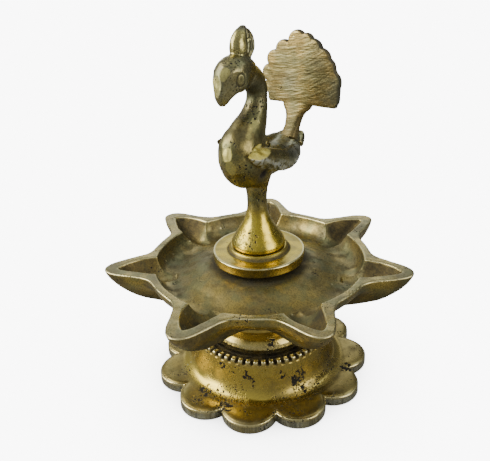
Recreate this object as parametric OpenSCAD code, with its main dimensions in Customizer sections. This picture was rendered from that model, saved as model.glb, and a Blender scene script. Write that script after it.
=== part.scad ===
// Standing oil lamp (samai): a scalloped foot, a turned neck, a seven-spout oil dish,
// a loose collar disc and a screw-in peacock finial with a separate tail fan.
// Millimetres. +Z up, the origin is the middle of the underside, and one spout points along -Y.

/* [Oil dish] */
// Number of wick spouts round the dish
spout_count = 7; // [5:1:8]
// Distance from the axis to a spout's tip
spout_reach = 62.5; // [60:0.5:66]
// Outer radius of the rim between two spouts
rim_r = 46.3; // [45.5:0.1:48]
// Height of the dish's flat rim
rim_z = 52.9; // [52.5:0.1:55]
// Width of the flat rim
rim_w = 3.4; // [2.5:0.1:4.5]
// Half width of a wick channel where it leaves the bowl
channel_half_w = 7; // [5:0.1:7.5]
// Distance from the axis to the pointed end of a wick channel
channel_end_r = 57; // [54:0.5:58]

/* [Foot] */
// Number of petals round the foot
petal_count = 11; // [8:1:14]
// Radius to the tip of a petal
petal_tip_r = 46; // [43:0.1:48]
// Radius to the valley between two petals
petal_valley_r = 38.9; // [38:0.1:41]
// Thickness of the petal plate at its edge
petal_t = 4.6; // [3:0.1:5.5]
// Direction of one petal's tip
petal_aim = 30; // [0:1:32]
// Number of teeth cut round the shoulder ring
tooth_count = 56; // [40:1:64]
// Depth of the cuts between the teeth
tooth_depth = 0.9; // [0.5:0.1:1.2]

/* [Neck] */
// Largest radius of the cushion moulding
cushion_r = 22.2; // [20:0.1:23]
// Radius of the spigot that the dish drops over
spigot_r = 24; // [22:0.1:25]
// Length of the spigot above the dish's seat
spigot_h = 7.5; // [5:0.1:7.5]

/* [Collar and finial] */
// Radius of the collar disc
collar_r = 18.8; // [16:0.1:19.2]
// Direction in which the peacock looks
bird_aim = -97; // [-180:1:180]
// Radius of the finial's screw
stud_r = 3; // [2:0.1:3.4]
// Radius of the trumpet foot under the peacock
trumpet_r = 11; // [10:0.1:11.4]

/* [Tail fan] */
// Number of feather lobes round the fan
lobe_count = 9; // [7:2:11]
// Thickness of the fan
fan_t = 3.2; // [2:0.1:4]
// Distance from the fan's middle to the lobes beside the stem
fan_r = 13.6; // [12:0.1:15]

/* [Hidden] */
$fn = 64;
BRASS = [0.72, 0.60, 0.30];
PALE_BRASS = [0.80, 0.70, 0.40];
DARK_BRASS = [0.52, 0.44, 0.22];
FILED_BRASS = [0.66, 0.50, 0.26];
// Heights below are for a petal plate this thick; a thicker one lifts everything that stands on it
PLAIN_PLATE = 3.6;
rise = petal_t - PLAIN_PLATE;
module raised() {
    translate([0, 0, rise]) children();
}
// Gap left between faces of pieces that come apart
seat_gap = 0.05;
// Radial clearance of a screw in its hole
screw_gap = 0.05;
// Heights at which the pieces meet
web_top = 18.4;
web_bottom = 14;
seat_z = 36;
recess_top = 44;
floor_z = 50.6;
collar_top = 58.5;
// Foot: radius of the toothed ring and of the hole through the web
ring_r = 28.5;
tail_r = 5;
// Petal circles: their centres and radius follow from the tip, the valley and the count
petal_half = 180 / petal_count;
valley_x = petal_valley_r * cos(petal_half);
valley_y = petal_valley_r * sin(petal_half);
petal_c = (petal_tip_r ^ 2 - valley_x ^ 2 - valley_y ^ 2) / (2 * (petal_tip_r - valley_x));
petal_q = petal_tip_r - petal_c;
// Hub under the dish that the finial screws into
hub_r = 8;
hub_bottom = 36.5;
stud_bottom = 38;
stud_top = 69;
// Bird: the stem of the fan is let into the rump by a round tang, which leans back
tang_r = 2;
tang_at = [-20.8, 98.2];
tang_lean = 37;
fan_back = 24;
fan_mid_z = 118;
// The plate stands off the stem's middle line, towards the bird's left
fan_aside = 4.2;
bowl_r = rim_r - rim_w;
// Where a wick channel starts, and the lowest it reaches
channel_from = 36.5;
channel_floor = 44.6;

// Skin over a stack of rings with the same number of points, closed at both ends.
// Rings run clockwise as seen along the stack when turn is 1, anticlockwise when it is 0.
module skin(rings, turn) {
    n = len(rings[0]);
    last = len(rings) - 1;
    function p(i, k) = i * n + k % n;
    sides = [for (i = [0:last - 1], k = [0:n - 1], half = [0:1])
        let (a = p(i, k), b = p(i, k + 1), c = p(i + 1, k + 1), d = p(i + 1, k))
        turn == 1 ? (half == 0 ? [a, b, c] : [a, c, d]) : (half == 0 ? [a, c, b] : [a, d, c])];
    up = [for (k = [0:n - 1]) k];
    down = [for (k = [0:n - 1]) n - 1 - k];
    first_cap = turn == 1 ? down : up;
    last_cap = [for (k = turn == 1 ? up : down) last * n + k];
    polyhedron(points = [for (r = rings, v = r) v], faces = concat(sides, [first_cap, last_cap]));
}

// Oval rings along a path beside the bird's mid plane.
// Each stop is [forward, up, half depth, half width, sideways].
function heading(stops, i) =
    let (a = stops[max(i - 1, 0)], b = stops[min(i + 1, len(stops) - 1)])
    [b[0] - a[0], b[1] - a[1]] / norm([b[0] - a[0], b[1] - a[1]]);
function oval(stop, t, n) = [for (k = [0:n - 1])
    let (deep = stop[2] * cos(360 * k / n), wide = stop[3] * sin(360 * k / n))
    [stop[0] - t[1] * deep, stop[4] + wide, stop[1] + t[0] * deep]];
module sweep(stops, n) {
    skin([for (i = [0:len(stops) - 1]) oval(stops[i], heading(stops, i), n)], 1);
}

// Outline of the dish at one level [height, radius between spouts, radius at a spout's tip].
// The points crowd towards the spout's tip.
SPOUT_POINTS = 16;
SPOUT_SPREAD = 9.4;
spout_pitch = 360 / spout_count;
// The spouts were cut by hand: degrees that each leans, and how much further than the rest it reaches
SPOUT_LEAN = [3.2, 0.5, 1.8, 1.8, 0, -2.8, -1.2, 0];
SPOUT_EXTRA = [1, -1, 0, 0.6, 0, 1, 1, 0];
function spout_aim(s) = -90 + s * spout_pitch + SPOUT_LEAN[s];
function spout_swing(t) = spout_pitch / 2 * t * sqrt(abs(t));
function dish_ring(level) = [for (s = [0:spout_count - 1], j = [0:SPOUT_POINTS - 1])
    let (off = spout_swing(2 * j / SPOUT_POINTS - 1),
         r = level[1] + (level[2] + SPOUT_EXTRA[s] - level[1]) * exp(-(abs(off) / SPOUT_SPREAD) ^ 2.4),
         fade = 1 - abs(2 * j / SPOUT_POINTS - 1),
         a = -90 + s * spout_pitch + off + SPOUT_LEAN[s] * fade)
    [r * cos(a), r * sin(a), level[0]]];
// Dish levels from the seat up to just past the rim, where the dish is faced off flat: how far each
// lies below the rim, inside the rim's radius and inside the spout's reach
DISH_DROPS = [[16.9, 17.3, 31], [15.4, 15.3, 20], [13.4, 12.7, 12.8], [10.9, 9.1, 8.4],
              [7.9, 5.2, 4.9], [4.9, 1.9, 2.3], [2.2, 0.4, 0.7], [-1, 0, 0]];
dish_levels = [for (d = DISH_DROPS) [rim_z - d[0], rim_r - d[1], spout_reach - d[2]]];

// Bird's outline stops: body from the trumpet up through chest, neck and head
BODY = [[0, 82.5, 4.1, 4.1, 0], [1, 86.6, 6, 5.6, 0], [3.7, 91.2, 9.6, 7.6, 0], [6.4, 96.4, 11.5, 8.6, 0],
        [6.6, 101.2, 11.1, 8.3, 0], [4.4, 105.8, 8.3, 6.5, 0], [1.2, 110.3, 5.8, 5.5, 0],
        [-1, 114.4, 4.5, 4.5, 0], [-2, 118.4, 3.9, 4, 0], [-1.6, 122, 4.1, 4.1, 0],
        [0.8, 125.4, 4.7, 4.4, 0], [4.4, 127.3, 5, 4.6, 0]];
HEAD = [[1.5, 127.4, 2.8, 3.2, 0], [5, 128.9, 5, 5, 0], [9, 129.1, 6.4, 5.8, 0], [12.6, 127.7, 6.6, 5.9, 0],
        [15.2, 125.2, 5.2, 4.9, 0], [16.7, 122.4, 3.5, 3.3, 0], [17.3, 120.2, 2, 2, 0],
        [17.5, 118.9, 0.9, 1, 0]];
CREST = [[6.6, 130, 4.2, 3.4, 0], [6.9, 132.8, 3.5, 3, 0], [6.6, 134.4, 3.5, 3, 0],
         [5.8, 136.4, 5, 3.1, 0], [5.3, 138.6, 5, 3, 0], [4.6, 141, 4, 2.3, 0],
         [3.9, 143, 2.2, 1.4, 0], [3.6, 144.1, 0.6, 0.6, 0]];
RUMP = [[2, 94.4, 7.4, 7.4, 0], [-5.5, 93.2, 6.6, 6.9, 0], [-12, 92.8, 5.7, 6.4, 0],
        [-17.3, 94.3, 4.8, 5.2, 0], [tang_at[0], tang_at[1], 3.8, 3.9, 0]];
WING = [[14.4, 101.4, 0.6, 0.5, 8.7], [7, 98.8, 3.7, 2.6, 8.7], [-0.3, 96.1, 4.3, 3, 8],
        [-7.5, 93.6, 4.2, 3.1, 7.2], [-13.5, 92.5, 4, 3, 6.2], [-19, 93.7, 3.2, 2.4, 5.2],
        [-21.8, 95.9, 1.4, 1.3, 4.2]];
// The far wing sits this much further back and higher, and this much of the way out
FAR_WING = [-3, 1.2, 0.88];
function far(w) = [w[0] + FAR_WING[0], w[1] + FAR_WING[1], w[2], w[3], w[4] * FAR_WING[2]];

// Foot: petal plate, cove and bell, toothed ring, hollow underside
module petals() {
    linear_extrude(petal_t) {
        circle(petal_c - 1);
        for (k = [0:petal_count - 1])
            rotate(petal_aim + 360 * k / petal_count) translate([petal_c, 0]) circle(petal_q);
    }
}
module tooth_ring() {
    step = 360 / tooth_count;
    low = ring_r - tooth_depth;
    outline = [for (k = [0:tooth_count - 1], c = [[0.12, 0], [0.3, 1], [0.7, 1], [0.88, 0]])
        let (a = (k + c[0]) * step, r = c[1] == 1 ? ring_r : low) [r * cos(a), r * sin(a)]];
    translate([0, 0, 17.2]) linear_extrude(3.2) polygon(outline);
}
module foot() {
    color(BRASS) difference() {
        union() {
            petals();
            raised() tooth_ring();
            raised() rotate_extrude() polygon([[0, 0.4], [37.6, 0.4], [37.6, PLAIN_PLATE - 0.4],
                [36.4, PLAIN_PLATE + 0.3], [34.3, PLAIN_PLATE + 0.8], [32.4, 5.3], [31, 6.9],
                [30.1, 9], [29.5, 11.6], [29.1, 14.6], [28.9, 17.3], [0, 17.3]]);
        }
        raised() rotate_extrude() polygon([[0, -4], [34.3, -4], [34, 0], [32.6, 0.9], [30.6, 2.6],
            [28.8, 5.2], [27.6, 8.4], [26.7, 11.6], [25.4, web_bottom], [0, web_bottom]]);
        raised() translate([0, 0, web_bottom - 1]) cylinder(h = 10, r = tail_r + screw_gap);
        raised() rotate_extrude() polygon([[0, web_top], [24.8, web_top], [25.4, 20.1], [25.4, 22],
            [0, 22]]);
        raised() rotate_extrude() translate([27, 20.6]) circle(0.45);
    }
}

// Neck: turned cushion, waist and flange, a spigot for the dish, and a screwed tail
module neck() {
    flange_r = spigot_r + 4.6;
    color(PALE_BRASS) raised() difference() {
        union() {
            rotate_extrude() polygon([[0, web_top], [21.2, web_top], [cushion_r - 0.2, 19.6],
                [cushion_r, 21], [cushion_r - 0.4, 22.8], [cushion_r - 1.6, 24.6], [18.6, 26.2],
                [17.6, 26.6], [17.6, 27.6], [18.2, 28.2], [19.6, 30], [22.6, 32.4], [26.4, 33.8],
                [flange_r, 34.2], [flange_r, seat_z - seat_gap], [0, seat_z - seat_gap]]);
            translate([0, 0, 30]) cylinder(h = seat_z - seat_gap + spigot_h - 30, r = spigot_r);
            translate([0, 0, 8.6]) cylinder(h = 12, r = tail_r);
        }
        rotate_extrude() polygon([[0, 24], [10, 24], [13, 26], [14, 29], [16, 31.5], [19, 34],
            [19, 60], [0, 60]]);
    }
}
module foot_washer() {
    color(DARK_BRASS) raised() translate([0, 0, web_bottom - 1.4]) difference() {
        cylinder(h = 1.4, r = 9);
        translate([0, 0, -1]) cylinder(h = 4, r = tail_r + 0.2);
    }
}
module foot_nut() {
    color(DARK_BRASS) raised() translate([0, 0, web_bottom - 5.4]) difference() {
        cylinder(h = 4, r = 8.1, $fn = 6);
        translate([0, 0, -1]) cylinder(h = 6, r = tail_r + screw_gap);
    }
}

// Dish: seven boat-shaped spouts round a shallow bowl, with a recess and a tapped hub below
module wick_channel() {
    lean = asin(channel_half_w / (channel_end_r - bowl_r - 1));
    intersection() {
        translate([bowl_r + 1, 0, rim_z]) rotate([0, 90 - lean, 0])
            translate([0, 0, -30]) cylinder(h = 60, r = channel_half_w);
        translate([channel_from, -20, channel_floor]) cube([40, 40, 20]);
    }
}
module dish_skin() {
    difference() {
        skin([for (level = dish_levels) dish_ring(level)], 0);
        translate([0, 0, rim_z + 5]) cube([200, 200, 10], center = true);
    }
}
module oil_dish() {
    color(BRASS) raised() difference() {
        dish_skin();
        rotate_extrude() polygon([[0, floor_z], [18.8, floor_z], [24, floor_z - 1],
            [27, floor_z - 2.1], [30, floor_z - 3.3], [33, floor_z - 4.3], [35.5, floor_z - 4.8],
            [bowl_r - 5.1, floor_z - 4.7], [bowl_r - 3.3, floor_z - 3.9], [bowl_r - 1.9, floor_z - 2.4],
            [bowl_r - 0.8, floor_z - 0.3], [bowl_r, rim_z - 0.8], [bowl_r, rim_z + 5], [0, rim_z + 5]]);
        for (k = [0:spout_count - 1]) rotate(spout_aim(k)) wick_channel();
        translate([0, 0, seat_z - 5]) difference() {
            cylinder(h = recess_top - seat_z + 5, r = spigot_r + 0.1);
            translate([0, 0, hub_bottom - seat_z + 5]) cylinder(h = 20, r = hub_r);
        }
        cylinder(h = 80, r = stud_r + screw_gap);
    }
}

// Collar: a stepped disc with an undercut foot, loose between dish and finial
module collar_disc() {
    low = floor_z + seat_gap;
    color(PALE_BRASS) raised() difference() {
        rotate_extrude() polygon([[0, low], [14.4, low], [14.4, 52.3], [17.6, 52.4],
            [collar_r - 0.2, 53.2], [collar_r, 56.4], [collar_r - 0.7, 57], [12.4, 57.2],
            [12, 57.6], [11.8, collar_top], [0, collar_top]]);
        cylinder(h = 80, r = stud_r + 0.1);
    }
}

// Peacock: trumpet foot, body, neck, head, beak, crest, wings and rump in one casting
module trumpet() {
    rotate_extrude() polygon([[0, collar_top + seat_gap], [trumpet_r - 0.5, collar_top + seat_gap],
        [trumpet_r, 59.4], [trumpet_r, 60.4], [10.2, 62.2], [8.6, 64.4], [7.2, 66.6], [5.8, 69],
        [4.8, 71.4], [4.2, 74], [3.95, 77], [4.05, 80.5], [4.4, 84], [0, 84]]);
}
module peacock() {
    color(DARK_BRASS) raised() difference() {
        union() {
            trumpet();
            rotate(bird_aim) {
                sweep(BODY, 16);
                sweep(HEAD, 14);
                sweep(CREST, 10);
                sweep(RUMP, 12);
                sweep(WING, 10);
                mirror([0, 1, 0]) sweep([for (w = WING) far(w)], 10);
            }
        }
        cylinder(h = stud_top, r = stud_r + 0.02);
        rotate(bird_aim) tang(0.02);
    }
}
module tang(extra) {
    translate([tang_at[0], 0, tang_at[1]]) rotate([0, 180 - tang_lean, 0])
        translate([0, 0, -0.5]) cylinder(h = 6.5, r = tang_r + extra);
}

// Tail fan: a filed plate with rounded feather lobes on a tapered stem
module fan_plate() {
    side = (lobe_count - 1) / 2;
    linear_extrude(fan_t, center = true) {
        circle(fan_r + 2);
        polygon([[-fan_r - 3, -6.4], [fan_r + 1, -6.2], [fan_r + 2, 2], [-fan_r - 4, 2]]);
        for (k = [-side:side]) {
            rise = 1 - abs(k) / side;
            rotate(90 + k * 98 / side) translate([fan_r + 4 * rise ^ 2, 0]) circle(4.1);
        }
    }
}
STEM = [[tang_at[0], tang_at[1], 2.3, 3.3, 0.4], [-22.4, 101.6, 2.1, 3, 1], [-23.4, 105.6, 1.9, 3.2, 1.7],
        [-23.9, 109.4, 1.7, 4.6, 2.6], [-24, 113, 1.5, 6.6, 3.4]];
module tail_fan() {
    color(FILED_BRASS) raised() rotate(bird_aim) {
        difference() {
            translate([-fan_back, fan_aside, fan_mid_z]) rotate([90, 0, -90]) fan_plate();
            translate([-40, -30, 90]) cube([30, 60, 20.6]);
        }
        sweep(STEM, 12);
        tang(0);
    }
}

// Stud: the finial's screw, with a run-out groove every pitch as its thread
module finial_stud() {
    color(DARK_BRASS) raised() difference() {
        translate([0, 0, stud_bottom]) cylinder(h = stud_top - stud_bottom, r = stud_r);
        for (k = [0:7]) translate([0, 0, stud_bottom + 1.5 + 1.5 * k])
            rotate_extrude() polygon([[stud_r - 0.45, 0], [stud_r + 1, -0.6], [stud_r + 1, 0.6]]);
    }
}

foot();
neck();
foot_washer();
foot_nut();
oil_dish();
collar_disc();
peacock();
tail_fan();
finial_stud();
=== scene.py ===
import math

import bmesh
import bpy
import numpy as np
from mathutils import Matrix, Vector


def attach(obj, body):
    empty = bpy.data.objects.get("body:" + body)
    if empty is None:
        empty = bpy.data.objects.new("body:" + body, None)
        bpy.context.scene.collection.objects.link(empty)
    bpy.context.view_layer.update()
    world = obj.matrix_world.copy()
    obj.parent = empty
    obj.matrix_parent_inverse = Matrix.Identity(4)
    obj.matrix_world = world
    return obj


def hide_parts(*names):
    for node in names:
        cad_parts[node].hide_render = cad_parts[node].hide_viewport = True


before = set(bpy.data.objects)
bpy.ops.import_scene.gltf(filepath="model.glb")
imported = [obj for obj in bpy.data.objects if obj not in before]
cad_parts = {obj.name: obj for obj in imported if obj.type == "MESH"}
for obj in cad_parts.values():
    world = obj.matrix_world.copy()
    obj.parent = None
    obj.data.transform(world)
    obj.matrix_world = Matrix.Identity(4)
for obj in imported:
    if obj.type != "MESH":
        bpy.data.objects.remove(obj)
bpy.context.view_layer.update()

MM = 0.001
TAU = 2 * math.pi
# Tables and masks are in millimetres. The height tables leave the petal plate RISE too thin.
RISE = 1.0
PLATE_TOP = 3.4             # the plate's top face, as the tables count it

# ---------------------------------------------------------------- camera
CAMERA_AZIMUTH = 32.9       # degrees round the lamp, from in front of -Y
CAMERA_ELEVATION = 25.7
CAMERA_ROLL = -2.57
CAMERA_DISTANCE = 0.240
CAMERA_LENS = 43.56
SENSOR_WIDTH = 36
AIM_ASIDE = -0.0053         # the aim point, sideways from the lamp's axis
AIM_HEIGHT = 0.0657


def make_camera():
    turn = math.radians(CAMERA_AZIMUTH - 90)
    lift = math.radians(CAMERA_ELEVATION)
    away = Vector((math.cos(turn), math.sin(turn), 0))
    side = Vector((-away.y, away.x, 0))
    aim = side * AIM_ASIDE + Vector((0, 0, AIM_HEIGHT))
    place = aim + (away * math.cos(lift) + Vector((0, 0, math.sin(lift)))) * CAMERA_DISTANCE
    data = bpy.data.cameras.new("camera")
    data.lens = CAMERA_LENS
    data.sensor_width = SENSOR_WIDTH
    data.clip_start = 0.01
    camera = bpy.data.objects.new("camera", data)
    look = (aim - place).to_track_quat("-Z", "Y").to_matrix().to_4x4()
    roll = Matrix.Rotation(math.radians(CAMERA_ROLL), 4, "Z")
    camera.matrix_world = Matrix.Translation(place) @ look @ roll
    bpy.context.scene.collection.objects.link(camera)
    bpy.context.scene.camera = camera


make_camera()


# ---------------------------------------------------------------- mesh helpers
def put_in_scene(name, data):
    made = bpy.data.objects.new(name, data)
    bpy.context.scene.collection.objects.link(made)
    return made


def new_piece(name, verts, faces):
    mesh = bpy.data.meshes.new(name)
    mesh.from_pydata([tuple(v) for v in verts], [], faces)
    mesh.update()
    return put_in_scene(name, mesh)


def level_ring(angle, radius, height):
    """A ring of points round the axis. Radius and height are one number, or one for each angle."""
    r = np.broadcast_to(radius, len(angle))
    z = np.broadcast_to(height, len(angle))
    return np.c_[r * np.cos(angle), r * np.sin(angle), z]


def rings_to_faces(rows, count, closed_rows=False):
    """Quads over a stack of rings; the stack is closed on itself, or capped at both ends."""
    faces = []
    last = rows if closed_rows else rows - 1
    for i in range(last):
        a, b = i * count, (i + 1) % rows * count
        for k in range(count):
            n = (k + 1) % count
            faces.append((a + k, a + n, b + n, b + k))
    if not closed_rows:
        faces.append(tuple(range(count - 1, -1, -1)))
        faces.append(tuple(range((rows - 1) * count, rows * count)))
    return faces


def turned(name, profile, count, closed=False):
    """A solid of revolution. profile is [(radius, height), ...], outside going up."""
    angle = np.arange(count) * TAU / count
    rings = [level_ring(angle, r, z) for r, z in profile]
    faces = rings_to_faces(len(rings), count, closed_rows=closed)
    return new_piece(name, np.concatenate(rings) * MM, faces)


def rounded(points, step, fillet, closed=False):
    """Rounds the corners of a profile a little and resamples it at even steps."""
    pts = [np.array(p, float) for p in points]
    out = []
    n = len(pts)
    for i in range(n):
        if not closed and i in (0, n - 1):
            out.append(pts[i])
            continue
        before, here, after = pts[i - 1], pts[i], pts[(i + 1) % n]
        u, v = before - here, after - here
        lu, lv = np.linalg.norm(u), np.linalg.norm(v)
        trim = min(fillet, lu * 0.45, lv * 0.45)
        a, b = here + u / lu * trim, here + v / lv * trim
        for t in (0, 0.25, 0.5, 0.75, 1):
            out.append((1 - t) ** 2 * a + 2 * t * (1 - t) * here + t * t * b)
    if closed:
        out.append(out[0])
    dense = [out[0]]
    for p, q in zip(out[:-1], out[1:]):
        cuts = max(1, int(np.linalg.norm(q - p) / step))
        dense += [p + (q - p) * (j + 1) / cuts for j in range(cuts)]
    return dense[:-1] if closed else dense


def smooth_curve(stops, per):
    """A Catmull-Rom curve through the stops, with per points from each stop to the next."""
    s = np.array(stops, float)
    padded = np.vstack([2 * s[0] - s[1], s, 2 * s[-1] - s[-2]])
    out = []
    for i in range(1, len(padded) - 2):
        p0, p1, p2, p3 = padded[i - 1:i + 3]
        for j in range(per):
            t = j / per
            out.append(0.5 * (2 * p1 + (p2 - p0) * t + (2 * p0 - 5 * p1 + 4 * p2 - p3) * t ** 2
                              + (3 * p1 - p0 - 3 * p2 + p3) * t ** 3))
    out.append(s[-1])
    return np.array(out)


def apply_modifiers(piece):
    """Bakes the modifiers into the mesh."""
    bpy.context.view_layer.update()
    graph = bpy.context.evaluated_depsgraph_get()
    mesh = bpy.data.meshes.new_from_object(piece.evaluated_get(graph))
    piece.modifiers.clear()
    piece.data = mesh


def drop_crumbs(piece):
    """Deletes the crumbs that a remesh can leave apart from the main skin."""
    mesh = bmesh.new()
    mesh.from_mesh(piece.data)
    loose = set(mesh.verts)
    skins = []
    while loose:
        skin = {loose.pop()}
        front = list(skin)
        while front:
            for edge in front.pop().link_edges:
                for vert in edge.verts:
                    if vert in loose:
                        loose.discard(vert)
                        skin.add(vert)
                        front.append(vert)
        skins.append(skin)
    main = max(skins, key=len)
    crumbs = [vert for skin in skins if skin is not main for vert in skin]
    bmesh.ops.delete(mesh, geom=crumbs, context="VERTS")
    mesh.to_mesh(piece.data)
    mesh.free()


def fuse(name, parts, voxel, smooth):
    """Joins closed parts into one skin, as a casting is one skin."""
    whole = bmesh.new()
    for part in parts:
        whole.from_mesh(part.data)
        bpy.data.objects.remove(part)
    mesh = bpy.data.meshes.new(name)
    whole.to_mesh(mesh)
    whole.free()
    piece = put_in_scene(name, mesh)
    remesh = piece.modifiers.new("skin", "REMESH")
    remesh.mode = "VOXEL"
    remesh.voxel_size = voxel * MM
    relax = piece.modifiers.new("relax", "SMOOTH")
    relax.factor = 0.5
    relax.iterations = smooth
    apply_modifiers(piece)
    drop_crumbs(piece)
    return piece


def cut(piece, tool):
    """Cuts the tool away from the piece."""
    knife = piece.modifiers.new("cut", "BOOLEAN")
    knife.operation = "DIFFERENCE"
    knife.solver = "EXACT"
    knife.object = tool
    apply_modifiers(piece)
    bpy.data.objects.remove(tool)


def points_of(piece):
    co = np.empty(len(piece.data.vertices) * 3)
    piece.data.vertices.foreach_get("co", co)
    return co.reshape(-1, 3) / MM


def radius_of(p):
    return np.hypot(p[:, 0], p[:, 1])


def towards(p, direction):
    """How far each point lies from the axis in a level direction."""
    return p[:, 0] * direction[0] + p[:, 1] * direction[1]


def raise_points(z):
    """Stretches heights in the petal plate by RISE, and lifts everything above it by that much."""
    return z + RISE * np.clip(z / PLATE_TOP, 0, 1)


def normals_of(piece):
    normal = np.empty(len(piece.data.vertices) * 3)
    piece.data.vertices.foreach_get("normal", normal)
    return normal.reshape(-1, 3)


def set_points(piece, co):
    """Moves the mesh's points. Every piece is shaded smooth."""
    piece.data.vertices.foreach_set("co", (co * MM).ravel())
    piece.data.update()
    piece.data.shade_smooth()


def store(piece, name, values):
    """Keeps a mask on the mesh's points, where the material reads it by its name."""
    layer = piece.data.attributes.new(name, "FLOAT", "POINT")
    layer.data.foreach_set("value", np.clip(values, 0, 1).astype(np.float32))


def spots(p, places):
    """1 inside each ball of (x, y, z, radius), fading out at its edge."""
    total = np.zeros(len(p))
    for x, y, z, radius in places:
        away = np.linalg.norm(p - np.array((x, y, z)), axis=1)
        total = np.maximum(total, 1 - ramp(away, radius * 0.25, radius * 1.15))
    return total


def waves(p, seed, size, octaves):
    """Smooth seeded noise in about -1..1: sums of sine waves in random directions. size is in mm."""
    random = np.random.default_rng(seed)
    total = np.zeros(len(p))
    weight = 0
    for octave in range(octaves):
        for _ in range(7):
            direction = random.normal(size=3)
            direction /= np.linalg.norm(direction)
            step = TAU / (size * 0.5 ** octave) * random.uniform(0.7, 1.4)
            total += 0.5 ** octave * np.sin(p @ direction * step + random.uniform(0, TAU))
        weight += 0.5 ** octave * 2.6
    return total / weight


def ramp(x, low, high):
    """0 below low, 1 above high and smooth between them."""
    t = np.clip((x - low) / (high - low), 0, 1)
    return t * t * (3 - 2 * t)


# ---------------------------------------------------------------- foot
PETALS = 11
PETAL_AIM = 30.0            # the direction of one petal, in degrees
PETAL_TIP = 46.0
PETAL_VALLEY = 38.9
TEETH = 56
HOLE_R = 5.05               # the hole for the neck's tail
WEB_BELOW = 14              # the web that the neck stands on, from below and from above
WEB_ABOVE = 18.4
# the side of the foot that gets the painted highlight on its cove and bell
FOOT_FRONT = (-0.10, -0.99)
# pit clusters: x, y, height and radius
FOOT_PITS = ((9.5, -28.2, 13.4, 3.2), (12.0, -28.2, 10.6, 2.4), (26.0, -15.4, 10.6, 5.0),
             (29.0, -15.0, 6.8, 3.0), (-1.5, -29.0, 15.8, 2.0), (-7.2, -34.2, 4.8, 3.6),
             (5.0, -38.0, 4.0, 4.0), (21.0, -20.0, 14.0, 2.4), (37.0, 8.0, 4.0, 4.0),
             (-22.0, 22.0, 9.0, 3.4), (-33.0, -12.0, 5.0, 3.0), (16.0, 30.0, 7.0, 4.0))
NECK_PITS = ((14.3, -15.5, 23.9, 3.0), (6.4, -15.6, 25.6, 2.6), (10.0, -17.0, 20.0, 1.8),
             (-16.0, 13.0, 23.5, 3.0))


def petal_radius(angle):
    """Distance from the axis to the petal plate's edge: arcs that meet in sharp valleys."""
    half = math.pi / PETALS
    vx, vy = PETAL_VALLEY * math.cos(half), PETAL_VALLEY * math.sin(half)
    centre = (PETAL_TIP ** 2 - vx ** 2 - vy ** 2) / (2 * (PETAL_TIP - vx))
    arc = PETAL_TIP - centre
    off = (angle - math.radians(PETAL_AIM) + half) % (2 * half) - half
    return centre * np.cos(off) + np.sqrt(arc ** 2 - (centre * np.sin(off)) ** 2)


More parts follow.
